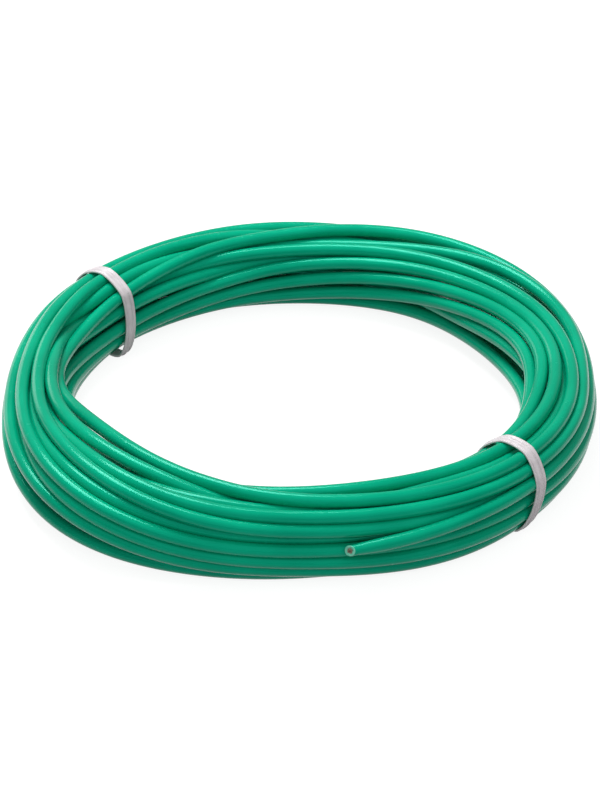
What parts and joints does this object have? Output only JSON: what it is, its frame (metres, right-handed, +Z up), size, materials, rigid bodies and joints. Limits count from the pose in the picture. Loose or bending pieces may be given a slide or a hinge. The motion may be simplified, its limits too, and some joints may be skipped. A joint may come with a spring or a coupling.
{
  "type": "wire coil",
  "caption": "Coil of insulated single-core electrical wire, wound in layers into a ring, held by twist ties and cut off at both ends.",
  "frame": {"origin": "on the floor under the middle of the coil", "axes": "+Z up along the ring's axis, +X to the right of the picture, +Y away from its camera"},
  "size_m": [0.1545, 0.1546, 0.0226],
  "materials": {
    "wire_insulation": "smooth soft PVC, slightly glossy",
    "copper": "freshly cut bare copper strands",
    "tie_plastic": "white PVC ribbon",
    "tie_steel": "galvanised wire"
  },
  "bodies": {
    "root": {"wire_coil": "wire_insulation", "conductor_upper_end": "copper", "conductor_lower_end": "copper", "left_tie_ribbon": "tie_plastic", "left_tie_core": "tie_steel", "right_tie_ribbon": "tie_plastic", "right_tie_core": "tie_steel"}
  },
  "joints": []
}
